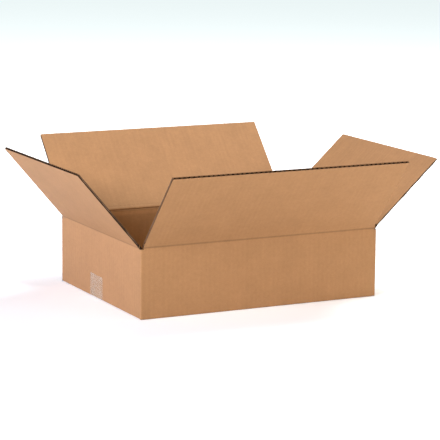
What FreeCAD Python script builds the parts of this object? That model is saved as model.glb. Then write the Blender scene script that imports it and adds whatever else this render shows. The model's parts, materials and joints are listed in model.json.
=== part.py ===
import FreeCAD, Part

import math
import os

from FreeCAD import Placement, Rotation, Vector

# Regular slotted carton of corrugated board, standing open. Sizes in millimetres, angles in degrees.
# X runs along the long side panels, Y across the carton, Z up from the surface that it stands on.

# The erected carton
INNER_LENGTH = 406.4
INNER_WIDTH = 304.8
END_SCORE_HEIGHT = 109.7
BOARD = 4.0
FOLD_RADIUS = 3.0
FOLD_INSIDE_RADIUS = 0.6
PLY_GAP = 0.1
FLAP_SIDE_CLEARANCE = 0.8
FLAP_MEETING_GAP = 0.8

# The score that a top flap swings on
SCORE_GAP = 0.15
CRUSHED_ROOT = 2.0

# Slots at the corners, between neighbouring flaps
TOP_SLOT_DEPTH = 0.3
BOTTOM_SLOT_END = 1.0

# Bead at the foot of an end panel, where its bottom score reaches down past the long flap's side edge
BEAD_FOOT = 0.8
BEAD_CLEARANCE = 0.3

# The wavy medium between the two liners
FLUTE_PITCH = 8.0
LINER = 0.4
MEDIUM = 0.4
MEDIUM_FLANK = 0.5
FLUTE_CREST = 2.4

# Lean of the open top flaps from upright, outwards
FRONT_LEAN_ANGLE = 40.8
BACK_LEAN_ANGLE = 42.4
LEFT_LEAN_ANGLE = 40.6
RIGHT_LEAN_ANGLE = 47.8

# Glue tab inside the back right corner, and the seam that it leaves outside
TAB_LENGTH = 35.0
TAB_THICKNESS = 3.0
TAB_CLEARANCE = 2.0
TAB_TAPER = 8.0
SEAM_GROOVE = 1.2

# Clear tape over the bottom seam
TAPE_WIDTH = 48.0
TAPE_THICKNESS = 0.06
TAPE_OFFSET = 13.0
TAPE_RISE = 38.0

# Sizes that follow
OUTER_LENGTH = INNER_LENGTH + 2 * BOARD
OUTER_WIDTH = INNER_WIDTH + 2 * BOARD
SIDE_SCORE_HEIGHT = END_SCORE_HEIGHT + BOARD + PLY_GAP
SLOT_SETBACK = BOARD + FLAP_SIDE_CLEARANCE
SIDE_FLAP_WIDTH = OUTER_LENGTH - 2 * SLOT_SETBACK
END_FLAP_WIDTH = OUTER_WIDTH - 2 * SLOT_SETBACK
FLAP_REACH = (OUTER_WIDTH - FLAP_MEETING_GAP) / 2
INNER_FLAP_FLOOR = BOARD + PLY_GAP
INSIDE_BEND = BOARD + FOLD_INSIDE_RADIUS
BEAD_RADIUS = (SLOT_SETBACK - BEAD_CLEARANCE) / 2
CORNER_TOP = END_SCORE_HEIGHT - TOP_SLOT_DEPTH
FLUTE_START = BOARD + CRUSHED_ROOT

# Quarter turn about Z from the front panel to each other panel
TURN = {"front": 0, "right": 90, "back": 180, "left": 270}


def wire_of(points):
    """Closed wire of straight edges through the points."""
    return Part.makePolygon(points + points[:1])


def bend(centre, radius, start_angle, end_angle):
    """Arc in the YZ plane, with angles measured from +Y towards +Z."""
    def on_circle(angle):
        turned = math.radians(angle)
        return centre + Vector(0, radius * math.cos(turned), radius * math.sin(turned))

    middle_angle = (start_angle + end_angle) / 2
    return Part.Arc(on_circle(start_angle), on_circle(middle_angle), on_circle(end_angle)).toShape()


def straight(start, end):
    return Part.LineSegment(start, end).toShape()


def across(face, width):
    """Extrude a face that lies in the YZ plane to both sides of X = 0."""
    face.translate(Vector(-width / 2, 0, 0))
    return face.extrude(Vector(width, 0, 0))


def on_panel(shape, name):
    """Turn a shape made for the front panel to another panel."""
    turned = shape.copy()
    turned.Placement = Placement(Vector(), Rotation(Vector(0, 0, 1), TURN[name])) * shape.Placement
    return turned


def flute_voids(width, start, end):
    """Air spaces of the corrugation in an upright flap: X along the score, Y from outer to inner liner.

    The pitch is fitted to the width, so that both side edges are cut through the middle of a flute.
    """
    count = round(width / FLUTE_PITCH)
    half_pitch = width / count / 2
    depth = BOARD - 2 * LINER - MEDIUM
    narrow = FLUTE_CREST / 2
    slip = MEDIUM / depth
    wide = (half_pitch - narrow * (1 + slip) - MEDIUM_FLANK) / (1 - slip)
    outer_void = ((-wide, LINER), (wide, LINER), (narrow, LINER + depth), (-narrow, LINER + depth))
    voids = []
    for step in range(-count, count + 1):
        opens_outwards = step % 2 == 0
        corners = []
        for along, height in outer_void:
            y = height if opens_outwards else BOARD - height
            corners.append(Vector(step * half_pitch + along, y, start))
        voids.append(Part.Face(wire_of(corners)).extrude(Vector(0, 0, end - start)))
    return Part.makeCompound(voids)


def top_flap(width, half_span, score_height, lean, name):
    """A top flap on its panel, mitred at the root so that it folds in flat."""
    root = [
        Vector(0, 0, SCORE_GAP),
        Vector(0, 0, FLAP_REACH),
        Vector(0, BOARD, FLAP_REACH),
        Vector(0, BOARD, BOARD + SCORE_GAP),
    ]
    blank = across(Part.Face(wire_of(root)), width)
    flap = blank.cut(flute_voids(width, FLUTE_START, FLAP_REACH + BOARD))
    flap.Placement = Placement(Vector(0, -half_span, score_height), Rotation(Vector(1, 0, 0), lean))
    return on_panel(flap, name)


def side_foot():
    """Fold of a side panel into its bottom flap, as the edges from the wall's outer face to the flap's."""
    return [bend(Vector(0, FOLD_RADIUS, FOLD_RADIUS), FOLD_RADIUS, 180, 270)]


def bead_centre():
    return Vector(0, BEAD_RADIUS, BEAD_FOOT + BEAD_RADIUS)


def end_foot():
    """Fold of an end panel: a bead beside the long flap's edge, then up to the short flap lying on it."""
    inner_side = bead_centre() + Vector(0, BEAD_RADIUS, 0)
    return [
        bend(bead_centre(), BEAD_RADIUS, 180, 360),
        straight(inner_side, Vector(0, inner_side.y, INNER_FLAP_FLOOR)),
    ]


def panel(width, half_span, score_height, foot, floor, name):
    """A wall, mitred at its top score, with its bottom flap, whose outer face lies at floor."""
    inner_bend = Vector(0, INSIDE_BEND, floor + INSIDE_BEND)
    outer_top = Vector(0, 0, score_height)
    flap_end = Vector(0, FLAP_REACH, floor)
    flap_end_top = Vector(0, FLAP_REACH, floor + BOARD)
    flap_root_top = Vector(0, INSIDE_BEND, floor + BOARD)
    inner_foot = Vector(0, BOARD, floor + INSIDE_BEND)
    inner_top = Vector(0, BOARD, score_height - BOARD)
    edges = [
        straight(outer_top, foot[0].firstVertex().Point),
        *foot,
        straight(foot[-1].lastVertex().Point, flap_end),
        straight(flap_end, flap_end_top),
        straight(flap_end_top, flap_root_top),
        bend(inner_bend, FOLD_INSIDE_RADIUS, 270, 180),
        straight(inner_foot, inner_top),
        straight(inner_top, outer_top),
    ]
    wall = across(Part.Face(Part.Wire(edges)), width)
    wall.translate(Vector(0, -half_span, 0))
    return on_panel(wall, name)


def bottom_flutes(width, half_span, floor, name):
    """The same air spaces, laid down in a bottom flap."""
    voids = flute_voids(width, INSIDE_BEND + CRUSHED_ROOT, FLAP_REACH + BOARD)
    laid_down = Rotation(Vector(-1, 0, 0), Vector(0, 0, 1), Vector(0, 1, 0), "XYZ")
    voids.Placement = Placement(Vector(0, -half_span, floor), laid_down)
    return on_panel(voids, name)


def upright_block(length, width, radius, foot, top):
    """A centred block with rounded upright edges."""
    block = Part.makeBox(length, width, top - foot, Vector(-length / 2, -width / 2, foot))
    upright = [edge for edge in block.Edges if edge.Vertexes[0].Z != edge.Vertexes[1].Z]
    return block.makeFillet(radius, upright)


def corner_posts():
    """Corners between the slots: three round folds, and a square one where the ends of the sheet meet."""
    round_tube = upright_block(OUTER_LENGTH, OUTER_WIDTH, FOLD_RADIUS, BOTTOM_SLOT_END, CORNER_TOP)
    hollow = upright_block(INNER_LENGTH, INNER_WIDTH, FOLD_INSIDE_RADIUS, BOTTOM_SLOT_END, CORNER_TOP)
    height = CORNER_TOP - BOTTOM_SLOT_END
    x = OUTER_LENGTH / 2 - SLOT_SETBACK
    y = OUTER_WIDTH / 2 - SLOT_SETBACK

    def corner_cell(low_x, low_y):
        return Part.makeBox(SLOT_SETBACK, SLOT_SETBACK, height, Vector(low_x, low_y, BOTTOM_SLOT_END))

    round_cells = [
        corner_cell(-x - SLOT_SETBACK, -y - SLOT_SETBACK),
        corner_cell(x, -y - SLOT_SETBACK),
        corner_cell(-x - SLOT_SETBACK, y),
    ]
    posts = [round_tube.common(cell).cut(hollow) for cell in round_cells]
    posts.append(corner_cell(x, y).cut(hollow))
    return posts


def joint_seam():
    """Groove outside the back right corner, between the back panel's cut end and the folded end panel."""
    x = OUTER_LENGTH / 2
    y = INNER_WIDTH / 2
    groove = [
        Vector(x - SEAM_GROOVE, y, 0),
        Vector(x + SEAM_GROOVE, y - SEAM_GROOVE, 0),
        Vector(x + SEAM_GROOVE, y, 0),
    ]
    return Part.Face(wire_of(groove)).extrude(Vector(0, 0, SIDE_SCORE_HEIGHT))


def glue_tab():
    """Tab of the right end panel, glued to the inside of the back panel, narrower towards its free end."""
    root_x = INNER_LENGTH / 2
    tip_x = root_x - TAB_LENGTH
    foot = INNER_FLAP_FLOOR + BOARD + TAB_CLEARANCE
    top = END_SCORE_HEIGHT - BOARD - TAB_CLEARANCE
    outline = [
        Vector(root_x, INNER_WIDTH / 2, foot),
        Vector(root_x, INNER_WIDTH / 2, top),
        Vector(tip_x, INNER_WIDTH / 2, top - TAB_TAPER),
        Vector(tip_x, INNER_WIDTH / 2, foot + TAB_TAPER),
    ]
    return Part.Face(wire_of(outline)).extrude(Vector(0, -TAB_THICKNESS, 0))


def bottom_tape():
    """Strip pressed flush along the bottom, taut over each end fold and up both end panels."""
    centre = bead_centre()
    edge_of_flap = Vector(0, SLOT_SETBACK, 0)
    to_centre = centre - edge_of_flap
    slant = math.asin(BEAD_RADIUS / to_centre.Length) - math.atan2(to_centre.y, to_centre.z)
    lands_at = 180 + math.degrees(slant)
    outwards = Vector(0, -math.cos(slant), -math.sin(slant))
    inner_radius = BEAD_RADIUS - TAPE_THICKNESS
    half_length = OUTER_LENGTH / 2
    inside_of_bend = TAPE_THICKNESS * (math.cos(slant) - (1 - math.sin(slant)) * math.tan(slant))

    outer_top = Vector(0, 0, TAPE_RISE)
    outer_fold = Vector(0, 0, centre.z)
    outer_landing = centre + outwards * BEAD_RADIUS
    middle = Vector(0, half_length, 0)
    inner_middle = Vector(0, half_length, TAPE_THICKNESS)
    inner_edge = Vector(0, SLOT_SETBACK + inside_of_bend, TAPE_THICKNESS)
    inner_landing = centre + outwards * inner_radius
    inner_fold = Vector(0, TAPE_THICKNESS, centre.z)
    inner_top = Vector(0, TAPE_THICKNESS, TAPE_RISE)
    edges = [
        straight(outer_top, outer_fold),
        bend(centre, BEAD_RADIUS, 180, lands_at),
        straight(outer_landing, edge_of_flap),
        straight(edge_of_flap, middle),
        straight(middle, inner_middle),
        straight(inner_middle, inner_edge),
        straight(inner_edge, inner_landing),
        bend(centre, inner_radius, lands_at, 180),
        straight(inner_fold, inner_top),
        straight(inner_top, outer_top),
    ]
    half = across(Part.Face(Part.Wire(edges)), TAPE_WIDTH)
    half.translate(Vector(0, -half_length, 0))
    left_half = on_panel(half, "left")
    right_half = on_panel(half, "right")
    strip = left_half.fuse(right_half).removeSplitter()
    strip.translate(Vector(0, TAPE_OFFSET, 0))
    return strip


def box_body(tape):
    """Walls, corners, glue tab and bottom flaps: one sheet, folded and joined."""
    side = (SIDE_FLAP_WIDTH, OUTER_WIDTH / 2, SIDE_SCORE_HEIGHT, side_foot(), 0)
    end = (END_FLAP_WIDTH, OUTER_LENGTH / 2, END_SCORE_HEIGHT, end_foot(), INNER_FLAP_FLOOR)
    sheet = panel(*side, "front").fuse([
        panel(*side, "back"),
        panel(*end, "left"),
        panel(*end, "right"),
        glue_tab(),
    ] + corner_posts()).removeSplitter()
    return sheet.cut([
        bottom_flutes(END_FLAP_WIDTH, OUTER_LENGTH / 2, INNER_FLAP_FLOOR, "left"),
        bottom_flutes(END_FLAP_WIDTH, OUTER_LENGTH / 2, INNER_FLAP_FLOOR, "right"),
        joint_seam(),
        tape,
    ])


def build():
    tape = bottom_tape()
    side_span = OUTER_WIDTH / 2
    end_span = OUTER_LENGTH / 2
    parts = {
        "box_body": box_body(tape),
        "bottom_tape": tape,
        "flap_front": top_flap(SIDE_FLAP_WIDTH, side_span, SIDE_SCORE_HEIGHT, FRONT_LEAN_ANGLE, "front"),
        "flap_back": top_flap(SIDE_FLAP_WIDTH, side_span, SIDE_SCORE_HEIGHT, BACK_LEAN_ANGLE, "back"),
        "flap_left": top_flap(END_FLAP_WIDTH, end_span, END_SCORE_HEIGHT, LEFT_LEAN_ANGLE, "left"),
        "flap_right": top_flap(END_FLAP_WIDTH, end_span, END_SCORE_HEIGHT, RIGHT_LEAN_ANGLE, "right"),
    }
    os.makedirs("parts", exist_ok=True)
    for node, shape in parts.items():
        print(node, "solids", len(shape.Solids), "valid", shape.isValid(), "volume", round(shape.Volume))
        shape.Solids[0].exportStep("parts/" + node + ".step")


build()
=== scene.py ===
import json
import math
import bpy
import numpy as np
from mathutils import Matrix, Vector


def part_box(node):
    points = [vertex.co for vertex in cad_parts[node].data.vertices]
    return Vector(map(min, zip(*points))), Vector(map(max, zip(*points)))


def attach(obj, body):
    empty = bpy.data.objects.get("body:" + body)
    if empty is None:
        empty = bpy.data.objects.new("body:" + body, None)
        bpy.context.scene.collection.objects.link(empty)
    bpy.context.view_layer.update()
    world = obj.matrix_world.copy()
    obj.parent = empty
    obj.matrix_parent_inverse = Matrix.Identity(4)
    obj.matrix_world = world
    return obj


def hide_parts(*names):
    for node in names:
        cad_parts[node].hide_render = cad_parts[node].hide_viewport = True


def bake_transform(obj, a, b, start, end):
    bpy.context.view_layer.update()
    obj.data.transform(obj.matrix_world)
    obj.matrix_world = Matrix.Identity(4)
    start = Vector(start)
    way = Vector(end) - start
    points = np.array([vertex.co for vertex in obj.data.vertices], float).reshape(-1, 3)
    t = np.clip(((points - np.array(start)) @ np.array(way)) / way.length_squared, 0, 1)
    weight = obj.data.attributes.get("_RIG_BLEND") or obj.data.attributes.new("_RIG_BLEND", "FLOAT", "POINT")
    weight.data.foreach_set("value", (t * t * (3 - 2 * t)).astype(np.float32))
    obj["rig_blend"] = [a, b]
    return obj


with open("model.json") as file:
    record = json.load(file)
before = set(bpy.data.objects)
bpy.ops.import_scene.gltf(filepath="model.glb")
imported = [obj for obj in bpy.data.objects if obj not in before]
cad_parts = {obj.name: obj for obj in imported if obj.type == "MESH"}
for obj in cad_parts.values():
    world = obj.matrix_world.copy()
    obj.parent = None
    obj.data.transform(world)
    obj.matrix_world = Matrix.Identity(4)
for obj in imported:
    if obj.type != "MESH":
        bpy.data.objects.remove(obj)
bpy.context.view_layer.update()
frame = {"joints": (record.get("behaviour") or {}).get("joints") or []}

from types import SimpleNamespace

import bmesh
import bpy
from mathutils import Matrix, Vector, noise

# A slotted carton of corrugated board, standing open. Metres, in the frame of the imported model.
# Every sheet keeps its place in the flat blank: u runs round the four walls, v up the wall and its flap.

JOINTS = {joint["child"]: joint for joint in frame["joints"]}
BODY_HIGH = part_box("box_body")[1]
HALF_LENGTH = BODY_HIGH.x
HALF_WIDTH = BODY_HIGH.y
SIDE_SCORE = BODY_HIGH.z
END_SCORE = JOINTS["left_flap"]["pos_m"][2]

# The board
BOARD = 0.004
LINER = 0.0004
MEDIUM = 0.0003
FLUTE_PITCH = 0.008
WASHBOARD = 0.00006

# Slots, corners and flaps
SLOT = 0.0048
CORNER_TOP = 0.1094
CORNER_FOOT = 0.001
CORNER_RADIUS = 0.0018
INSIDE_RADIUS = 0.0006
CORNER_PRESS_REACH = 0.005
SCORE_PRESS_REACH = 0.008
FLAP_MEETING_GAP = 0.0008
FLAP_REACH = HALF_WIDTH - FLAP_MEETING_GAP / 2
UPPER_CORE_FOOT = 0.09
LOWER_CORE_TOP = 0.02
CORE_CLEARANCE = 0.00005

# Cut edges
CUT_RECESS = 0.0004
EDGE_PRESS = 0.08
EDGE_PRESS_REACH = 0.004
SIDE_PRESS_REACH = 0.007
SIDE_RIM_START = 0.0024
SIDE_RIM_DRIFT = 0.001

# Creases between the walls and the top flaps
CREASE_BAND = 0.0035
BEND_REACH = 0.0022
CRUSHED_ROOT = 0.007
FLUTE_OVERLAP = 0.001
# Height of the band below the top crease; on the inner liner it is painted lighter
LIGHT_BAND_REACH = 0.004
SCORE_RELIEF = 0.00012
SCORE_LINE_WIDTH = 0.0013
SCORE_LINE_DEPTH = 0.0002
# How far up the blank from the bend the pressed lines lie
SIDE_SCORE_LINE = -0.0019
END_SCORE_LINE = 0.0022
FOLD_HEART = 0.0006
GROOVE_DEPTH = 0.0009
GROOVE_WIDTH = math.radians(9)
GROOVE_PLACE = math.radians(-16)
GROOVE_WAVER = 0.0002
BEAD_HEIGHT = 0.0002
BEAD_PLACE = math.radians(24)
# On the right flap the pressed liner closes over the ends of the crease.
CLOSED_CREASES = ("right",)

# Bottom folds
FOLD_HEIGHT = 0.00305
FOLD_LIFT = 0.0001
BEAD_RADIUS = 0.00225
SHORT_FLAP_FLOOR = 0.0041
INSIDE_BEND = BOARD + INSIDE_RADIUS
BOTTOM_FLUTE_START = 0.008

# Glue tab at the back right corner
TAB_FOLD_RADIUS = 0.001
TAB_STUB = 0.006
TAB_LENGTH = 0.035
TAB_THICKNESS = 0.003
TAB_FOOT = 0.0101
TAB_TOP = 0.1037
TAB_TAPER = 0.008
TAB_ROOT_OVERLAP = 0.0003
TAB_WALL_GAP = 0.0001
TAB_EDGE_ROUND = 0.0007
TAB_EDGE_ANGLE = math.radians(60)

# Clear tape
TAPE_HALF_WIDTH = 0.024
TAPE_OFFSET = 0.013
TAPE_RISE = 0.038
TAPE_THICKNESS = 0.00006
TAPE_STANDOFF = 0.00002
TAPE_CUT_SLANT = 0.03
TAPE_CUT_DRIFT = 0.0012
TAPE_TOOTH = 0.0012
TAPE_TOOTH_DEPTH = 0.0006
# How far the tape turns round the bead before it runs straight to the long flap's edge
TAPE_TAUT_TURN = math.radians(74.37)

# How fast the noise on edges and creases changes, in steps per metre
EDGE_NOISE = 60
RIM_NOISE = 70
SCORE_LINE_NOISE = 40
GROOVE_NOISE = 30
TAPE_CUT_NOISE = 45

# Mesh steps
COLUMNS_PER_FLUTE = 4
WAVE_STEPS = 12
WALL_ROWS = 6
BOTTOM_FLAP_ROWS = 8
TOP_FLAP_ROWS = 24
RIM_ROWS = 60
MEDIUM_ROWS = 3
TAB_COLUMNS = 12
TAB_ROWS = 8
CORNER_STEPS = 6
SIDE_FOLD_STEPS = 5
BEAD_STEPS = 10
INSIDE_FOLD_STEPS = 3
FOLD_COLUMN = 0.004
OUTER_FOLD_STEPS = 18
INNER_FOLD_STEPS = 24
TAPE_ROWS = 10
TAPE_WRAP_STEPS = 6
CRISP_ANGLE = math.radians(35)
TINY = 1e-6
WELD = 1e-5

# Materials of a piece's faces, in the order of its material slots
LINER_FACE = 0
# Faces in the near-black medium: painted shade of open flutes, cut edges and crushed cores
PAINTED_SHADE_FACE = 1
CRUSHED_FACE = 2


def panel(turn, half_span, score, half_cut, u_centre, body, side_press):
    """A wall: its quarter turn from the front, its distance from the middle, its half width between slots,
    its middle in the blank, and how far the side cuts of its top flap are pressed."""
    flutes = round(2 * half_cut / FLUTE_PITCH)
    shut = JOINTS[body]["range_deg"][0]
    return SimpleNamespace(
        turn=Matrix.Rotation(math.radians(turn), 4, "Z"),
        half_span=half_span,
        score=score,
        half_cut=half_cut,
        u_centre=u_centre,
        body=body,
        side_press=side_press,
        flutes=flutes,
        pitch=2 * half_cut / flutes,
        lean=math.radians(-90 - shut),
    )


HALF_SIDE_CUT = HALF_LENGTH - SLOT
HALF_END_CUT = HALF_WIDTH - SLOT
HALF_GIRTH = 2 * HALF_LENGTH + 2 * HALF_WIDTH
FRONT_MIDDLE = HALF_GIRTH + HALF_LENGTH
LEFT_MIDDLE = 2 * HALF_LENGTH + HALF_WIDTH
RIGHT_MIDDLE = 2 * HALF_GIRTH - HALF_WIDTH
PANELS = {
    "back": panel(180, HALF_WIDTH, SIDE_SCORE, HALF_SIDE_CUT, HALF_LENGTH, "back_flap", 0.1),
    "left": panel(270, HALF_LENGTH, END_SCORE, HALF_END_CUT, LEFT_MIDDLE, "left_flap", 0.2),
    "front": panel(0, HALF_WIDTH, SIDE_SCORE, HALF_SIDE_CUT, FRONT_MIDDLE, "front_flap", 0.1),
    "right": panel(90, HALF_LENGTH, END_SCORE, HALF_END_CUT, RIGHT_MIDDLE, "right_flap", 0.75),
}
CORNERS_U = (0, 2 * HALF_LENGTH, HALF_GIRTH, HALF_GIRTH + 2 * HALF_LENGTH, 2 * HALF_GIRTH)


# Mesh helpers

def new_mesh():
    """An empty bmesh whose points hold their place in the blank, their flute and their crease."""
    bm = bmesh.new()
    bm.verts.layers.float_vector.new("blank")
    bm.verts.layers.float.new("flute")
    bm.verts.layers.float.new("crease")
    return bm


def polyline(bm, points, blanks):
    """A line of edges through the points."""
    blank = bm.verts.layers.float_vector["blank"]
    verts = [bm.verts.new(point) for point in points]
    for vert, place in zip(verts, blanks):
        vert[blank] = place
    return [bm.edges.new(pair) for pair in zip(verts, verts[1:])]


def sweep(bm, edges, step, steps, blank_step):
    """Extrude a line of edges by equal steps, and carry its place in the blank along."""
    blank = bm.verts.layers.float_vector["blank"]
    for _ in range(steps):
        made = bmesh.ops.extrude_edge_only(bm, edges=edges)["geom"]
        leading = [part for part in made if isinstance(part, bmesh.types.BMVert)]
        bmesh.ops.transform(bm, matrix=step, verts=leading, space=Matrix())
        for vert in leading:
            vert[blank] += Vector(blank_step)
        edges = [part for part in made if isinstance(part, bmesh.types.BMEdge)]
    return edges


def about(centre, angle, axis):
    """Turn about an axis through a point."""
    centre = Vector(centre)
    return Matrix.Translation(centre) @ Matrix.Rotation(angle, 4, axis) @ Matrix.Translation(-centre)


def on_panel(where, step):
    """A step that is given in the front panel's directions, for another panel."""
    return where.turn @ step @ where.turn.inverted()


def at_score(where):
    """Placement from a panel's score, with the wall's outer face at no depth, to the carton."""
    return where.turn @ Matrix.Translation((0, -where.half_span, where.score))


def leaning(where):
    """The lean of a panel's open top flap from upright, outwards."""
    return Matrix.Rotation(where.lean, 4, "X")


def smooth_fall(distance, reach):
    """One at no distance, falling softly to nothing at the reach."""
    share = min(abs(distance) / reach, 1)
    return 1 - share * share * (3 - 2 * share)


def nearest_panel(u):
    return min(PANELS.values(), key=lambda where: abs(u - where.u_centre) - where.half_cut)


def pressed(u, v):
    """How far the board is crushed at a place in the blank: fully on a score or at a corner fold."""
    score = nearest_panel(u).score
    at_corner = max(smooth_fall(u - corner, CORNER_PRESS_REACH) for corner in CORNERS_U)
    return max(at_corner, smooth_fall(v - score, SCORE_PRESS_REACH), smooth_fall(v, SCORE_PRESS_REACH))


def mark_flutes(bm):
    """Note the flute that each point lies on, counted from the middle of its panel."""
    blank = bm.verts.layers.float_vector["blank"]
    flute = bm.verts.layers.float["flute"]
    for vert in bm.verts:
        where = nearest_panel(vert[blank].x)
        vert[flute] = (vert[blank].x - where.u_centre) / where.pitch


def sink_between_flutes(bm, inner):
    """Draw the liner in a little where no flute holds it, as on real board."""
    blank = bm.verts.layers.float_vector["blank"]
    flute = bm.verts.layers.float["flute"]
    shift = 0.5 if inner else 0
    bm.normal_update()
    normals = [vert.normal.copy() for vert in bm.verts]
    for vert, normal in zip(bm.verts, normals):
        free = 0.5 + 0.5 * math.cos(2 * math.pi * (vert[flute] + shift))
        firm = 1 - pressed(vert[blank].x, vert[blank].y)
        vert.co -= normal * (WASHBOARD * free * firm)


def thicken(bm, thickness):
    """Give a sheet its thickness, and paint its cut edges with the near-black medium, painted shade of the
    open cut.
    """
    sheet = set(bm.faces)
    cut = [edge for edge in bm.edges if edge.is_boundary]
    bmesh.ops.solidify(bm, geom=list(bm.faces), thickness=thickness)
    for edge in cut:
        for face in edge.link_faces:
            if face not in sheet:
                face.material_index = PAINTED_SHADE_FACE


def paint_faces(bm, material):
    for face in bm.faces:
        face.material_index = material


def join(target, source):
    """Add a finished bmesh to another through a scratch mesh, which keeps its layers."""
    scratch = bpy.data.meshes.new("scratch")
    source.to_mesh(scratch)
    source.free()
    target.from_mesh(scratch)
    bpy.data.meshes.remove(scratch)


def finish_piece(name, bm, materials):
    """Turn a bmesh into a piece with soft folds and crisp cuts."""
    bmesh.ops.recalc_face_normals(bm, faces=bm.faces)
    for face in bm.faces:
        face.smooth = True
    for edge in bm.edges:
        if edge.calc_face_angle(0) > CRISP_ANGLE:
            edge.smooth = False
    mesh = bpy.data.meshes.new(name)
    bm.to_mesh(mesh)
    bm.free()
    for material in materials:
        mesh.materials.append(material)
    piece = bpy.data.objects.new(name, mesh)
    bpy.context.scene.collection.objects.link(piece)
    return piece


# Walls and bottom flaps

def is_on(u, name, spare=TINY):
    where = PANELS[name]
    return abs(u - where.u_centre) <= where.half_cut + spare


def on_sides(u):
    return is_on(u, "front") or is_on(u, "back")


def off_ends(u):
    return not is_on(u, "left", -TINY) and not is_on(u, "right", -TINY)


def off_all(u):
    return not any(is_on(u, name, -TINY) for name in PANELS)


def rim(bm, height, belongs):
    """Open edges at one height whose ends both belong."""
    blank = bm.verts.layers.float_vector["blank"]

    def chosen(edge):
        return edge.is_boundary and all(
            abs(vert.co.z - height) < TINY and belongs(vert[blank].x) for vert in edge.verts
        )

    return [edge for edge in bm.edges if chosen(edge)]


def wall_ring(bm, depth, radius, foot, top, inner):
    """The four walls at one depth in the board, from the back right corner round to it again."""
    rows = [foot + (top - foot) * row / WALL_ROWS for row in range(WALL_ROWS + 1)]
    rows.insert(WALL_ROWS, top - LIGHT_BAND_REACH)
    start = Vector((HALF_LENGTH - depth, HALF_WIDTH - depth, 0))
    side = BOARD if inner else 0
    edges = polyline(bm, [start + Vector((0, 0, z)) for z in rows], [(depth, z, side) for z in rows])
    heading = Vector((-1, 0, 0))
    at = start.copy()

    def run(edges, length, steps=1):
        at.xyz = at + heading * length
        stride = length / steps
        return sweep(bm, edges, Matrix.Translation(heading * stride), steps, (stride, 0, 0))

    before = 0
    for name, where in PANELS.items():
        last = name == "right"
        bend = TAB_FOLD_RADIUS if last else radius
        ends_at = bend
        if last:
            # The outer liner's last run then steps back 0.2 mm. Five points at the tab's root come out
            # up to 0.4 mm apart from run to run. A tab fold radius of 0.0007 avoids it.
            ends_at = 0 if inner else BOARD + bend
        edges = run(edges, SLOT - depth - before)
        edges = run(edges, 2 * where.half_cut, where.flutes * COLUMNS_PER_FLUTE)
        edges = run(edges, SLOT - depth - ends_at)
        if last and inner:
            break
        left = Vector((-heading.y, heading.x, 0))
        centre = at + left * bend
        quarter = about(centre, math.radians(90 / CORNER_STEPS), "Z")
        edges = sweep(bm, edges, quarter, CORNER_STEPS, (2 * (bend + depth) / CORNER_STEPS, 0, 0))
        at.xyz = centre + heading * bend
        heading = left
        before = bend
    if inner:
        bmesh.ops.remove_doubles(bm, verts=bm.verts, dist=TINY)
    else:
        run(edges, TAB_STUB)


def raise_tops(bm, top, side_top):
    """Carry the corners and the side walls up from the end walls' score."""
    rise = CORNER_TOP - top
    sweep(bm, rim(bm, top, off_ends), Matrix.Translation((0, 0, rise)), 1, (0, rise, 0))
    rise = side_top - CORNER_TOP
    sweep(bm, rim(bm, CORNER_TOP, on_sides), Matrix.Translation((0, 0, rise)), 1, (0, rise, 0))


def lower_corners(bm, foot):
    """Carry the corners down between the bottom flaps' slots."""
    drop = CORNER_FOOT - foot
    sweep(bm, rim(bm, foot, off_all), Matrix.Translation((0, 0, drop)), 1, (0, drop, 0))


def fold_in(bm, name, foot, radius, centre_depth, turns, steps, flap_runs):
    """Fold a wall's foot about an axis along it, then carry it in as a bottom flap."""
    where = PANELS[name]
    edges = rim(bm, foot, lambda u: is_on(u, name))
    centre = Vector((0, centre_depth - where.half_span, foot))
    angle = turns * math.pi / 2 / steps
    turn = on_panel(where, about(centre, angle, "X"))
    edges = sweep(bm, edges, turn, steps, (0, -radius * angle, 0))
    for inwards, up, count in flap_runs:
        move = Vector((0, inwards / count, up / count))
        edges = sweep(bm, edges, on_panel(where, Matrix.Translation(move)), count, (0, -move.length, 0))


def outer_liner():
    """The outside of the walls and bottom flaps, with the beads that the end walls fold through."""
    bm = new_mesh()
    top = END_SCORE - CREASE_BAND
    wall_ring(bm, 0, CORNER_RADIUS, FOLD_HEIGHT, top, inner=False)
    raise_tops(bm, top, SIDE_SCORE - CREASE_BAND)
    lower_corners(bm, FOLD_HEIGHT)
    side_radius = FOLD_HEIGHT - FOLD_LIFT
    bead_depth = 2 * BEAD_RADIUS
    for name in ("front", "back"):
        runs = [(FLAP_REACH - side_radius, 0, BOTTOM_FLAP_ROWS)]
        fold_in(bm, name, FOLD_HEIGHT, side_radius, side_radius, 1, SIDE_FOLD_STEPS, runs)
    for name in ("left", "right"):
        up_to_floor = (0, SHORT_FLAP_FLOOR - FOLD_HEIGHT, 1)
        runs = [up_to_floor, (FLAP_REACH - bead_depth, 0, BOTTOM_FLAP_ROWS)]
        fold_in(bm, name, FOLD_HEIGHT, BEAD_RADIUS, BEAD_RADIUS, 2, BEAD_STEPS, runs)
    mark_flutes(bm)
    sink_between_flutes(bm, inner=False)
    thicken(bm, LINER)
    return bm


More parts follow.
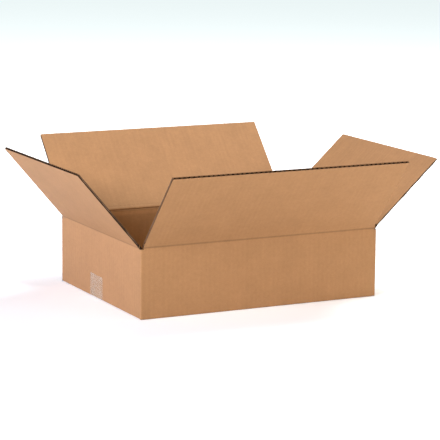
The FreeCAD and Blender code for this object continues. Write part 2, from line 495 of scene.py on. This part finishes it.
def inner_liner():
    """The inside of the walls and bottom flaps, with a painted light band just below the top creases."""
    bm = new_mesh()
    foot = SHORT_FLAP_FLOOR + INSIDE_BEND
    top = END_SCORE - BOARD
    wall_ring(bm, BOARD, INSIDE_RADIUS, foot, top, inner=True)
    raise_tops(bm, top, SIDE_SCORE - BOARD)
    crease = bm.verts.layers.float["crease"]
    # A crease of -1 marks the top of the inner liner, where the kraft is painted lighter: painted light
    for vert in bm.verts:
        vert[crease] = -1 if vert.co.z > top - TINY else 0
    runs = [(FLAP_REACH - INSIDE_BEND, 0, BOTTOM_FLAP_ROWS)]
    for name in ("left", "right"):
        fold_in(bm, name, foot, INSIDE_RADIUS, INSIDE_BEND, 1, INSIDE_FOLD_STEPS, runs)
    drop = INSIDE_BEND - foot
    sweep(bm, rim(bm, foot, off_ends), Matrix.Translation((0, 0, drop)), 1, (0, drop, 0))
    lower_corners(bm, INSIDE_BEND)
    for name in ("front", "back"):
        fold_in(bm, name, INSIDE_BEND, INSIDE_RADIUS, INSIDE_BEND, 1, INSIDE_FOLD_STEPS, runs)
    mark_flutes(bm)
    bmesh.ops.reverse_faces(bm, faces=bm.faces)
    sink_between_flutes(bm, inner=True)
    thicken(bm, LINER)
    return bm


def bar(profile, half_width, where, lean=Matrix()):
    """A straight bar of crushed board along a score. The profile is (depth, height) from the score."""
    bm = new_mesh()
    verts = [bm.verts.new((-half_width, depth, height)) for depth, height in profile]
    ends = bmesh.ops.extrude_face_region(bm, geom=[bm.faces.new(verts)])["geom"]
    moved = [part for part in ends if isinstance(part, bmesh.types.BMVert)]
    bmesh.ops.translate(bm, verts=moved, vec=(2 * half_width, 0, 0))
    bmesh.ops.transform(bm, matrix=at_score(where) @ lean, verts=bm.verts, space=Matrix())
    bmesh.ops.recalc_face_normals(bm, faces=bm.faces)
    return bm


def crushed_profile(sign):
    """The crushed board beside a score, between the liners, below it (-1) or above it (1)."""
    near, far = LINER, BOARD - LINER
    return [
        (near, sign * CREASE_BAND),
        (near, sign * CRUSHED_ROOT),
        (far, sign * CRUSHED_ROOT),
        (far, sign * BOARD),
    ]


def corner_core(low, high, corner):
    """The crushed medium in a corner post, as it shows at the end of a slot."""
    bm = new_mesh()
    near, far = LINER, BOARD - LINER
    x, y = HALF_LENGTH, HALF_WIDTH
    section = [(near, low), (near, high), (far, high), (far, low)]
    start = [(x - SLOT, y - depth, height) for depth, height in section]
    edges = polyline(bm, start, [(0, 0, 0)] * 4)
    edges.append(bm.edges.new((edges[-1].verts[1], edges[0].verts[0])))
    bm.faces.new([edge.verts[0] for edge in edges])
    inside = far + CORE_CLEARANCE
    lead = SLOT - inside
    edges = sweep(bm, edges, Matrix.Translation((lead, 0, 0)), 1, (0, 0, 0))
    quarter = about((x - inside, y - inside, 0), math.radians(-90 / CORNER_STEPS), "Z")
    edges = sweep(bm, edges, quarter, CORNER_STEPS, (0, 0, 0))
    edges = sweep(bm, edges, Matrix.Translation((0, -lead, 0)), 1, (0, 0, 0))
    bmesh.ops.contextual_create(bm, geom=edges)
    bmesh.ops.transform(bm, matrix=Matrix.Diagonal((*corner, 1, 1)), verts=bm.verts, space=Matrix())
    bmesh.ops.recalc_face_normals(bm, faces=bm.faces)
    return bm


def flute_sheet(where, low, place, crush_far_edge=True):
    """The wavy medium of a flap, from a height above its score to its free edge, set by a placement."""
    bm = new_mesh()
    high = FLAP_REACH - CUT_RECESS
    columns = where.flutes * WAVE_STEPS
    size = Matrix.Diagonal((2 * where.half_cut, high - low, 1, 1))
    upright = Matrix.Rotation(math.pi / 2, 4, "X")
    centre = Matrix.Translation((0, 0, (low + high) / 2))
    stood_up = centre @ upright @ size
    bmesh.ops.create_grid(bm, x_segments=columns, y_segments=MEDIUM_ROWS, size=0.5, matrix=stood_up)
    swing = (BOARD - 2 * LINER - MEDIUM) / 2
    flute = bm.verts.layers.float["flute"]
    blank = bm.verts.layers.float_vector["blank"]
    for vert in bm.verts:
        vert[flute] = vert.co.x / where.pitch
        vert[blank] = (where.u_centre + vert.co.x, vert.co.z, BOARD / 2)
        vert.co.y = (BOARD - MEDIUM) / 2 + swing * math.cos(2 * math.pi * vert[flute])
    if crush_far_edge:
        press_edges(bm, where, high)
    bmesh.ops.solidify(bm, geom=list(bm.faces), thickness=MEDIUM)
    bmesh.ops.recalc_face_normals(bm, faces=bm.faces)
    bmesh.ops.transform(bm, matrix=place, verts=bm.verts, space=Matrix())
    return bm


def press_edges(bm, where, far_edge):
    """Thin the board a little at its cut edges, unevenly, as the cutting die leaves it."""
    for vert in bm.verts:
        x, y, z = vert.co
        at_edge = EDGE_PRESS * smooth_fall(far_edge - z, EDGE_PRESS_REACH)
        at_side = where.side_press * smooth_fall(where.half_cut - abs(x), SIDE_PRESS_REACH)
        uneven = 0.6 + 0.4 * noise.noise(Vector((x, z, where.u_centre)) * EDGE_NOISE)
        vert.co.y = BOARD / 2 + (y - BOARD / 2) * (1 - max(at_edge, at_side) * uneven)


def glue_tab():
    """The glued tab, a pressed trapezoid on the inside of the back wall."""
    bm = new_mesh()
    root_x = HALF_LENGTH - BOARD + TAB_ROOT_OVERLAP
    middle = (TAB_FOOT + TAB_TOP) / 2
    half = (TAB_TOP - TAB_FOOT) / 2
    blank = bm.verts.layers.float_vector["blank"]
    bmesh.ops.create_grid(bm, x_segments=TAB_COLUMNS, y_segments=TAB_ROWS, size=0.5)
    for vert in bm.verts:
        share = 0.5 - vert.co.x
        height = 2 * vert.co.y * (half - TAB_TAPER * share)
        vert[blank] = (share * TAB_LENGTH, middle + height, 2 * BOARD)
        vert.co = (root_x - share * TAB_LENGTH, HALF_WIDTH - BOARD - TAB_THICKNESS, middle + height)
    bm.normal_update()
    bmesh.ops.solidify(bm, geom=list(bm.faces), thickness=TAB_THICKNESS - TAB_WALL_GAP)
    cut_edges = [edge for edge in bm.edges if edge.calc_face_angle(0) > TAB_EDGE_ANGLE]
    bmesh.ops.bevel(
        bm,
        geom=cut_edges,
        offset=TAB_EDGE_ROUND,
        segments=3,
        profile=0.5,
        affect="EDGES",
        material=-1,
        clamp_overlap=True,
    )
    paint_faces(bm, LINER_FACE)
    return bm


def laid_down(where, floor):
    """Placement that lays a flap's sheet down as the panel's bottom flap, outer side down."""
    inwards = Matrix(((-1, 0, 0, 0), (0, 0, 1, 0), (0, 1, 0, 0), (0, 0, 0, 1)))
    return where.turn @ Matrix.Translation((0, -where.half_span, floor)) @ inwards


def carton_sheet(kraft, medium):
    """The folded sheet: its walls, corners, glue tab and bottom flaps."""
    bm = outer_liner()
    join(bm, inner_liner())
    join(bm, glue_tab())
    cores = []
    for corner in ((1, 1), (1, -1), (-1, 1), (-1, -1)):
        cores.append(corner_core(UPPER_CORE_FOOT, CORNER_TOP - CUT_RECESS, corner))
        cores.append(corner_core(CORNER_FOOT + CUT_RECESS, LOWER_CORE_TOP, corner))
    for name, where in PANELS.items():
        place = laid_down(where, FOLD_LIFT if name in ("front", "back") else SHORT_FLAP_FLOOR)
        cores.append(bar(crushed_profile(-1), where.half_cut - CUT_RECESS, where))
        cores.append(flute_sheet(where, BOTTOM_FLUTE_START, place, crush_far_edge=False))
    # Cores, crushed bars and bottom flutes take the near-black medium, painted shade
    for core in cores:
        paint_faces(core, PAINTED_SHADE_FACE)
        join(bm, core)
    for vert in bm.verts:
        vert.co.z = max(vert.co.z, FOLD_LIFT)
    piece = finish_piece("carton_sheet", bm, [kraft, medium])
    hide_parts("box_body")
    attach(piece, "carton")


# Top flaps

def flap_liner(where, low, inner):
    """One liner of an upright top flap: outer at no depth, inner a board deeper."""
    bm = new_mesh()
    depth = BOARD if inner else 0
    columns = where.flutes * COLUMNS_PER_FLUTE
    size = Matrix.Diagonal((2 * where.half_cut, FLAP_REACH - low, 1, 1))
    upright = Matrix.Rotation(math.pi / 2 * (-1 if inner else 1), 4, "X")
    centre = Matrix.Translation((0, depth, (low + FLAP_REACH) / 2))
    stood_up = centre @ upright @ size
    bmesh.ops.create_grid(bm, x_segments=columns, y_segments=TOP_FLAP_ROWS, size=0.5, matrix=stood_up)
    blank = bm.verts.layers.float_vector["blank"]
    for vert in bm.verts:
        vert[blank] = (where.u_centre + vert.co.x, where.score + vert.co.z, depth)
    mark_flutes(bm)
    sink_between_flutes(bm, inner)
    press_edges(bm, where, FLAP_REACH)
    thicken(bm, LINER)
    return bm


def side_rims(where):
    """Crushed medium along the side cuts of an upright flap, over the inner part of the open flute."""
    bm = new_mesh()
    low = CRUSHED_ROOT - FLUTE_OVERLAP
    high = FLAP_REACH - CUT_RECESS
    near = SIDE_RIM_START
    far = BOARD - LINER
    size = Matrix.Diagonal((far - near, high - low, 1, 1))
    upright = Matrix.Rotation(math.pi / 2, 4, "Z") @ Matrix.Rotation(math.pi / 2, 4, "X")
    for side in (-1, 1):
        x = side * (where.half_cut - CUT_RECESS)
        centre = Matrix.Translation((x, (near + far) / 2, (low + high) / 2))
        stood_up = centre @ upright @ size
        bmesh.ops.create_grid(bm, x_segments=1, y_segments=RIM_ROWS, size=0.5, matrix=stood_up)
    for vert in bm.verts:
        if vert.co.y < (near + far) / 2:
            along = Vector((vert.co.x, where.u_centre, vert.co.z * RIM_NOISE))
            vert.co.y += SIDE_RIM_DRIFT * noise.noise(along)
    press_edges(bm, where, FLAP_REACH)
    bmesh.ops.solidify(bm, geom=list(bm.faces), thickness=MEDIUM)
    return bm


def top_flap(name, kraft, medium, crushed):
    """A top flap as it stands open: two liners, the flutes between them and its crushed root and sides."""
    where = PANELS[name]
    place = at_score(where) @ leaning(where)
    bm = flap_liner(where, CREASE_BAND, inner=False)
    join(bm, flap_liner(where, BOARD + SCORE_RELIEF, inner=True))
    rims = side_rims(where)
    paint_faces(rims, CRUSHED_FACE)
    join(bm, rims)
    bmesh.ops.transform(bm, matrix=place, verts=bm.verts, space=Matrix())
    root = bar(crushed_profile(1), where.half_cut - CUT_RECESS, where, leaning(where))
    flutes = flute_sheet(where, CRUSHED_ROOT - FLUTE_OVERLAP, place)
    # The crushed root and flutes take the near-black medium, painted shade
    for part in (root, flutes):
        paint_faces(part, PAINTED_SHADE_FACE)
        join(bm, part)
    piece = finish_piece(name + "_top_flap", bm, [kraft, medium, crushed])
    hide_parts("flap_" + name)
    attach(piece, where.body)


# Folds between the walls and the top flaps

def along_score(where, bm, edges):
    """Carry a profile of the fold along its score."""
    count = round(2 * where.half_cut / FOLD_COLUMN)
    width = 2 * where.half_cut / count
    return sweep(bm, edges, Matrix.Translation((width, 0, 0)), count, (width, 0, 0))


def eased(along):
    """Distance past the bend, nothing before it, and rounded off near it."""
    if abs(along) >= BEND_REACH:
        return max(along, 0)
    return (along + BEND_REACH) ** 2 / (4 * BEND_REACH)


def outer_fold(name, kraft, medium):
    """Outer liner in the fold: a tight bend with the pressed line of the score."""
    where = PANELS[name]
    bm = new_mesh()
    crease = bm.verts.layers.float["crease"]
    below = Vector((0, 0, -CREASE_BAND))
    above = leaning(where) @ Vector((0, 0, CREASE_BAND))
    score_line = SIDE_SCORE_LINE if name in ("front", "back") else END_SCORE_LINE
    points, blanks, depths = [], [], []
    for step in range(OUTER_FOLD_STEPS + 1):
        along = CREASE_BAND * (2 * step / OUTER_FOLD_STEPS - 1)
        points.append((below * eased(-along) + above * eased(along)) / CREASE_BAND)
        blanks.append((where.u_centre - where.half_cut, where.score + along, 0))
        depths.append(math.exp(-((along - score_line) / SCORE_LINE_WIDTH) ** 2))
    edges = polyline(bm, [point - Vector((where.half_cut, 0, 0)) for point in points], blanks)
    for vert, depth in zip(bm.verts, depths):
        # The crease weight darkens the kraft along the pressed line: painted shade
        vert[crease] = depth
    along_score(where, bm, edges)
    bm.normal_update()
    for vert in bm.verts:
        uneven = 1 + 0.5 * noise.noise(Vector((vert.co.x * SCORE_LINE_NOISE, where.u_centre, 0)))
        vert.co -= vert.normal * (SCORE_LINE_DEPTH * vert[crease] * uneven)
    mark_flutes(bm)
    thicken(bm, LINER)
    bmesh.ops.recalc_face_normals(bm, faces=bm.faces)
    place = at_score(where)
    bmesh.ops.transform(bm, matrix=place, verts=bm.verts, space=Matrix())
    piece = finish_piece(name + "_fold_outside", bm, [kraft, medium])
    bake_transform(piece, "carton", where.body, start=place @ below, end=place @ above)


def inner_fold(name, kraft, medium):
    """Inner liner in the fold, and the crushed board behind it: beads on both sides of a pressed groove."""
    where = PANELS[name]
    bm = new_mesh()
    crease = bm.verts.layers.float["crease"]
    first = -math.pi / 4
    last = where.lean + math.pi / 4
    points, blanks, depths = [], [], []
    for step in range(INNER_FOLD_STEPS + 1):
        share = step / INNER_FOLD_STEPS
        angle = first + (last - first) * share
        from_groove = angle - GROOVE_PLACE
        bent = max(-angle, 0, angle - where.lean)
        groove = math.exp(-((from_groove / GROOVE_WIDTH) ** 2))
        bead = math.exp(-(((abs(from_groove) - BEAD_PLACE) / GROOVE_WIDTH) ** 2))
        reach = BOARD / math.cos(bent) - GROOVE_DEPTH * groove + BEAD_HEIGHT * bead
        points.append(Vector((-where.half_cut, reach * math.cos(angle), reach * math.sin(angle))))
        blanks.append((where.u_centre - where.half_cut, where.score + BOARD * (2 * share - 1), BOARD))
        depths.append(groove)
    for angle in (last, first):
        points.append(Vector((-where.half_cut, FOLD_HEART * math.cos(angle), FOLD_HEART * math.sin(angle))))
        blanks.append(blanks[0])
        depths.append(0)
    edges = polyline(bm, points, blanks)
    edges.append(bm.edges.new((edges[-1].verts[1], edges[0].verts[0])))
    # The crease weight darkens the kraft in the groove: painted shade
    for vert, depth in zip(bm.verts, depths):
        vert[crease] = depth
    caps = [bm.faces.new([edge.verts[0] for edge in edges])]
    edges = along_score(where, bm, edges)
    caps += bmesh.ops.contextual_create(bm, geom=edges)["faces"]
    # Open crease ends take the near-black medium, painted shade
    for cap in caps:
        cap.material_index = LINER_FACE if name in CLOSED_CREASES else PAINTED_SHADE_FACE
    for vert in bm.verts:
        uneven = noise.noise(Vector((vert.co.x * GROOVE_NOISE, where.u_centre, 1)))
        out = Vector((0, vert.co.y, vert.co.z)).normalized()
        vert.co += out * (GROOVE_WAVER * vert[crease] * uneven)
    mark_flutes(bm)
    bmesh.ops.recalc_face_normals(bm, faces=bm.faces)
    place = at_score(where)
    bmesh.ops.transform(bm, matrix=place, verts=bm.verts, space=Matrix())
    piece = finish_piece(name + "_fold_inside", bm, [kraft, medium])
    wall_corner = place @ Vector((0, BOARD, -BOARD))
    flap_corner = place @ leaning(where) @ Vector((0, BOARD, BOARD))
    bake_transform(piece, "carton", where.body, start=wall_corner, end=flap_corner)


# Tape

def tape_half(name):
    """The tape down one end wall, taut over its bottom fold and on to the middle of the bottom."""
    where = PANELS[name]
    bm = new_mesh()
    teeth = round(2 * TAPE_HALF_WIDTH / TAPE_TOOTH)
    columns = 2 * teeth
    # The two end walls run opposite ways round the carton, so the offset changes its sign.
    centre = -TAPE_OFFSET if name == "left" else TAPE_OFFSET
    proud = TAPE_THICKNESS + TAPE_STANDOFF
    xs = [centre + TAPE_HALF_WIDTH * (2 * column / columns - 1) for column in range(columns + 1)]
    y = -where.half_span - proud
    points = [(x, y, TAPE_RISE) for x in xs]
    blanks = [(x - centre, TAPE_RISE, 0) for x in xs]
    edges = polyline(bm, points, blanks)
    cut = list(bm.verts)
    down = (FOLD_HEIGHT - TAPE_RISE) / TAPE_ROWS
    edges = sweep(bm, edges, Matrix.Translation((0, 0, down)), TAPE_ROWS, (0, down, 0))
    bead = (0, BEAD_RADIUS - where.half_span, FOLD_HEIGHT)
    angle = TAPE_TAUT_TURN / TAPE_WRAP_STEPS
    edges = sweep(bm, edges, about(bead, angle, "X"), TAPE_WRAP_STEPS, (0, -(BEAD_RADIUS + proud) * angle, 0))
    landing = edges[0].verts[0].co.copy()
    taut = Vector((0, SLOT - where.half_span - landing.y, -landing.z))
    edges = sweep(bm, edges, Matrix.Translation(taut), 1, (0, -taut.length, 0))
    inwards = (where.half_span - SLOT) / TAPE_ROWS
    sweep(bm, edges, Matrix.Translation((0, inwards, 0)), TAPE_ROWS, (0, -inwards, 0))
    for index, vert in enumerate(cut):
        tooth = TAPE_TOOTH_DEPTH * (0.5 if index % 2 else -0.5)
        drift = TAPE_CUT_DRIFT * noise.noise(Vector((vert.co.x * TAPE_CUT_NOISE, where.u_centre, 3)))
        vert.co.z += tooth + drift - TAPE_CUT_SLANT * (vert.co.x - centre)
    bmesh.ops.transform(bm, matrix=where.turn, verts=bm.verts, space=Matrix())
    return bm


def tape_strip(film):
    """The whole strip, its two halves welded in the middle of the bottom."""
    bm = tape_half("left")
    join(bm, tape_half("right"))
    bmesh.ops.remove_doubles(bm, verts=bm.verts, dist=WELD)
    bm.normal_update()
    bmesh.ops.solidify(bm, geom=list(bm.faces), thickness=TAPE_THICKNESS)
    piece = finish_piece("tape_strip", bm, [film])
    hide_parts("bottom_tape")
    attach(piece, "carton")


# Materials

def new_material(name):
    material = bpy.data.materials.new(name)
    material.use_nodes = True
    return material, material.node_tree, material.node_tree.nodes["Principled BSDF"]


def put(tree, kind, inputs, **settings):
    """Add a shader node. Inputs are numbers, colours or the outputs of other nodes."""
    node = tree.nodes.new("ShaderNode" + kind)
    for setting, value in settings.items():
        setattr(node, setting, value)
    for key, value in inputs.items():
        if isinstance(value, bpy.types.NodeSocket):
            tree.links.new(value, node.inputs[key])
        else:
            node.inputs[key].default_value = value
    return node.outputs


def math_node(tree, operation, first, second=0.0):
    return put(tree, "Math", {0: first, 1: second}, operation=operation)["Value"]


def ramp_to(tree, value, low, high, to_low, to_high):
    """Map a value from one range to another, held at the ends."""
    given = {"Value": value, "From Min": low, "From Max": high, "To Min": to_low, "To Max": to_high}
    return put(tree, "MapRange", given)["Result"]


def stretched(tree, place, scale, turn=0.0):
    given = {"Vector": place, "Scale": scale, "Rotation": (0, 0, turn)}
    return put(tree, "Mapping", given)["Vector"]


def noise_node(tree, place, scale, detail=3.0, roughness=0.55):
    given = {"Vector": place, "Scale": scale, "Detail": detail, "Roughness": roughness}
    return put(tree, "TexNoise", given)["Fac"]


def multiply(tree, values):
    total = values[0]
    for value in values[1:]:
        total = math_node(tree, "MULTIPLY", total, value)
    return total


def kraft_specks(tree, place):
    """Darkening for rare small specks in the paper."""
    given = {"Vector": stretched(tree, place, (1, 1.6, 1)), "Scale": 210.0}
    field = put(tree, "TexVoronoi", given, feature="F1")
    red = put(tree, "SeparateColor", {"Color": field["Color"]})["Red"]
    rare = math_node(tree, "GREATER_THAN", red, 0.93)
    spot = ramp_to(tree, field["Distance"], 0.06, 0.14, 0.3, 0.0)
    return math_node(tree, "SUBTRACT", 1.0, math_node(tree, "MULTIPLY", spot, rare))


def kraft_streaks(tree, place):
    """Streaks up the blank, stronger on the inner liner, which lies a board deeper."""
    drawn_out = noise_node(tree, stretched(tree, place, (150, 5, 1)), 1.0, 2.0)
    streaks = ramp_to(tree, drawn_out, 0.3, 0.7, -1.0, 1.0)
    depth = put(tree, "SeparateXYZ", {"Vector": place})["Z"]
    strength = ramp_to(tree, depth, 0.0015, 0.003, 0.016, 0.03)
    return math_node(tree, "ADD", 1.0, math_node(tree, "MULTIPLY", streaks, strength))


def kraft_material(name, tone):
    """Unbleached kraft paper: cloudy formation, short fibres, specks, faint lines over the flutes that are
    painted shade of the washboard, painted shade along the pressed score lines, and a painted light band
    below the inner top crease.
    """
    material, tree, shader = new_material(name)
    place = put(tree, "Attribute", {}, attribute_name="blank")["Vector"]
    flute = put(tree, "Attribute", {}, attribute_name="flute")["Fac"]
    crease = put(tree, "Attribute", {}, attribute_name="crease")["Fac"]
    clouds = ramp_to(tree, noise_node(tree, place, 30, 3), 0.3, 0.7, 0.955, 1.04)
    mottle = ramp_to(tree, noise_node(tree, place, 150, 6, 0.85), 0.3, 0.7, 0.915, 1.085)
    along = noise_node(tree, stretched(tree, place, (260, 2300, 900)), 1.0, 2.0)
    slanted = noise_node(tree, stretched(tree, place, (420, 2600, 900), 0.6), 1.0, 2.0)
    long_fibres = ramp_to(tree, along, 0.35, 0.68, 0.955, 1.045)
    fibres = math_node(tree, "ADD", long_fibres, ramp_to(tree, slanted, 0.4, 0.7, -0.012, 0.02))
    # Painted shade of the washboard: faint darker and lighter lines at the flute pitch
    washboard_shade = math_node(tree, "SINE", math_node(tree, "MULTIPLY", flute, 2 * math.pi))
    lines = ramp_to(tree, washboard_shade, -1.0, 1.0, 0.99, 1.01)
    # Painted shade: the kraft darkens along the pressed score lines and grooves
    score_line_shade = ramp_to(tree, crease, 0.0, 1.0, 1.0, 0.68)
    # Painted light: the inner liner lighter in a band just below the top crease
    rim_light_band = ramp_to(tree, crease, -1.0, 0.0, 1.2, 1.0)
    shade = multiply(tree, [
        clouds,
        mottle,
        fibres,
        kraft_specks(tree, place),
        lines,
        kraft_streaks(tree, place),
        score_line_shade,
        rim_light_band,
    ])
    colour = put(tree, "VectorMath", {0: tone, "Scale": shade}, operation="SCALE")["Vector"]
    tree.links.new(colour, shader.inputs["Base Color"])
    rough = ramp_to(tree, along, 0.3, 0.7, 0.68, 0.82)
    tree.links.new(rough, shader.inputs["Roughness"])
    fibre_height = math_node(tree, "MULTIPLY", along, 0.5)
    height = math_node(tree, "ADD", fibre_height, math_node(tree, "MULTIPLY", mottle, 2.0))
    bump = put(tree, "Bump", {"Height": height, "Strength": 0.25, "Distance": 0.00012})["Normal"]
    tree.links.new(bump, shader.inputs["Normal"])
    shader.inputs["Specular IOR Level"].default_value = 0.25
    return material


def medium_material(name, tone):
    """The fluted medium and the crushed board: rough recycled paper in the given tone, darker than the
    liners. The fluted medium's near-black tone is painted shade of the open flutes.
    """
    material, tree, shader = new_material(name)
    place = put(tree, "TexCoord", {})["Object"]
    grain = ramp_to(tree, noise_node(tree, place, 900, 3), 0.3, 0.7, 0.82, 1.12)
    colour = put(tree, "VectorMath", {0: tone, "Scale": grain}, operation="SCALE")["Vector"]
    tree.links.new(colour, shader.inputs["Base Color"])
    fuzz = noise_node(tree, place, 1600, 2)
    bump = put(tree, "Bump", {"Height": fuzz, "Strength": 0.4, "Distance": 0.0002})["Normal"]
    tree.links.new(bump, shader.inputs["Normal"])
    shader.inputs["Roughness"].default_value = 0.9
    shader.inputs["Specular IOR Level"].default_value = 0.15
    return material


def tape_material():
    """Clear packing film with faint draw lines along its length."""
    material, tree, shader = new_material("clear_film")
    place = put(tree, "Attribute", {}, attribute_name="blank")["Vector"]
    streaks = noise_node(tree, stretched(tree, place, (170, 8, 1)), 1.0, 2.0)
    blotches = noise_node(tree, place, 70, 2)
    drawn = ramp_to(tree, streaks, 0.3, 0.7, 0.08, 0.13)
    hazy = math_node(tree, "ADD", drawn, ramp_to(tree, blotches, 0.35, 0.7, -0.02, 0.03))
    tree.links.new(hazy, shader.inputs["Alpha"])
    bump = put(tree, "Bump", {"Height": streaks, "Strength": 0.12, "Distance": 0.0002})["Normal"]
    tree.links.new(bump, shader.inputs["Normal"])
    shader.inputs["Base Color"].default_value = (0.62, 0.66, 0.56, 1)
    shader.inputs["Roughness"].default_value = 0.5
    shader.inputs["Specular IOR Level"].default_value = 0.2
    return material


# Studio

CAMERA_TURN = math.radians(-26.82)
CAMERA_PITCH = math.radians(10.42)
CAMERA_ROLL = math.radians(0.555)
CAMERA_PLACE = (-1.47838, -2.93498, 0.71804)
CAMERA_LENS = 168.6

LAMP_DISTANCE = 3.0
LAMP_AIM = Vector((0, 0, 0.1))
# Name, azimuth, elevation, size, power and colour
LAMPS = [
    ("front_softbox", 5, 13, (2.2, 0.5), 14, (1.0, 0.7, 0.7)),
    ("front_right_softbox", 42, 14, (1.8, 0.5), 23, (1.0, 0.9, 0.78)),
    ("left_softbox", -70, 25, (1.8, 0.7), 113, (0.92, 0.91, 1.0)),
    ("right_softbox", 112, 58, (1.8, 1.2), 110, (1.0, 0.98, 0.98)),
    ("back_softbox", -115, 6, (1.8, 0.5), 15, (0.1, 0.15, 1.0)),
    ("fill_softbox", 0, 45, (1.8, 0.9), 6, (0.7, 1.0, 0.8)),
]
FLOOR_REACH = 20
GLOW_START = 0.15
GLOW_END = 1.6
GLOW_NEAR = 0.19
GLOW_FAR = 0.84
SKY_GLOW = 0.05


def camera():
    """The photograph's view of the carton."""
    data = bpy.data.cameras.new("camera")
    data.lens = CAMERA_LENS
    data.clip_end = 100
    eye = bpy.data.objects.new("camera", data)
    level = Matrix.Rotation(CAMERA_TURN, 4, "Z") @ Matrix.Rotation(math.pi / 2 - CAMERA_PITCH, 4, "X")
    eye.matrix_world = Matrix.Translation(CAMERA_PLACE) @ level @ Matrix.Rotation(CAMERA_ROLL, 4, "Z")
    bpy.context.scene.collection.objects.link(eye)
    bpy.context.scene.camera = eye


def softbox(name, azimuth, elevation, size, power, colour):
    """A soft area light that looks at the carton. Azimuth 0 stands in front, 90 to the right."""
    data = bpy.data.lights.new(name, "AREA")
    data.shape = "RECTANGLE"
    data.size, data.size_y = size
    data.energy = power
    data.color = colour
    lamp = bpy.data.objects.new(name, data)
    turn = math.radians(azimuth)
    rise = math.radians(elevation)
    back = Vector((math.sin(turn) * math.cos(rise), -math.cos(turn) * math.cos(rise), math.sin(rise)))
    lamp.location = LAMP_AIM + back * LAMP_DISTANCE
    lamp.rotation_mode = "QUATERNION"
    lamp.rotation_quaternion = back.to_track_quat("Z", "Y")
    bpy.context.scene.collection.objects.link(lamp)


def floor_material():
    """White sweep that glows more and more behind the carton. The glow stays where it is in every view."""
    material, tree, shader = new_material("floor_white")
    place = put(tree, "TexCoord", {})["Object"]
    view = (-math.sin(CAMERA_TURN), math.cos(CAMERA_TURN), 0)
    behind = put(tree, "VectorMath", {0: place, 1: view}, operation="DOT_PRODUCT")["Value"]
    paper = ramp_to(tree, noise_node(tree, place, 3, 2), 0.3, 0.7, 0.92, 0.93)
    glow = ramp_to(tree, behind, GLOW_START, GLOW_END, GLOW_NEAR, GLOW_FAR)
    tree.links.new(paper, shader.inputs["Base Color"])
    tree.links.new(glow, shader.inputs["Emission Strength"])
    shader.inputs["Emission Color"].default_value = (0.9, 1, 1, 1)
    shader.inputs["Roughness"].default_value = 0.9
    return material


def studio_world():
    world = bpy.data.worlds.new("studio")
    world.use_nodes = True
    backdrop = world.node_tree.nodes["Background"].inputs
    backdrop["Color"].default_value = (1, 1, 1, 1)
    backdrop["Strength"].default_value = SKY_GLOW
    return world


def studio():
    scene = bpy.context.scene
    scene.view_settings.view_transform = "Standard"
    scene.world = studio_world()
    bm = bmesh.new()
    bmesh.ops.create_grid(bm, x_segments=1, y_segments=1, size=FLOOR_REACH)
    mesh = bpy.data.meshes.new("floor")
    bm.to_mesh(mesh)
    bm.free()
    mesh.materials.append(floor_material())
    floor = bpy.data.objects.new("floor", mesh)
    scene.collection.objects.link(floor)
    for lamp in LAMPS:
        softbox(*lamp)


def main():
    kraft = kraft_material("kraft_liner", (0.362, 0.192, 0.0815))
    # The fluted medium is near black, darker than the paper itself: painted shade of the open flutes and cut
    # edges
    medium = medium_material("fluting_medium_painted_shade", (0.042, 0.023, 0.012))
    crushed = medium_material("crushed_medium", (0.19, 0.115, 0.07))
    carton_sheet(kraft, medium)
    for name in PANELS:
        top_flap(name, kraft, medium, crushed)
        outer_fold(name, kraft, medium)
        inner_fold(name, kraft, medium)
    tape_strip(tape_material())
    studio()
    camera()


main()
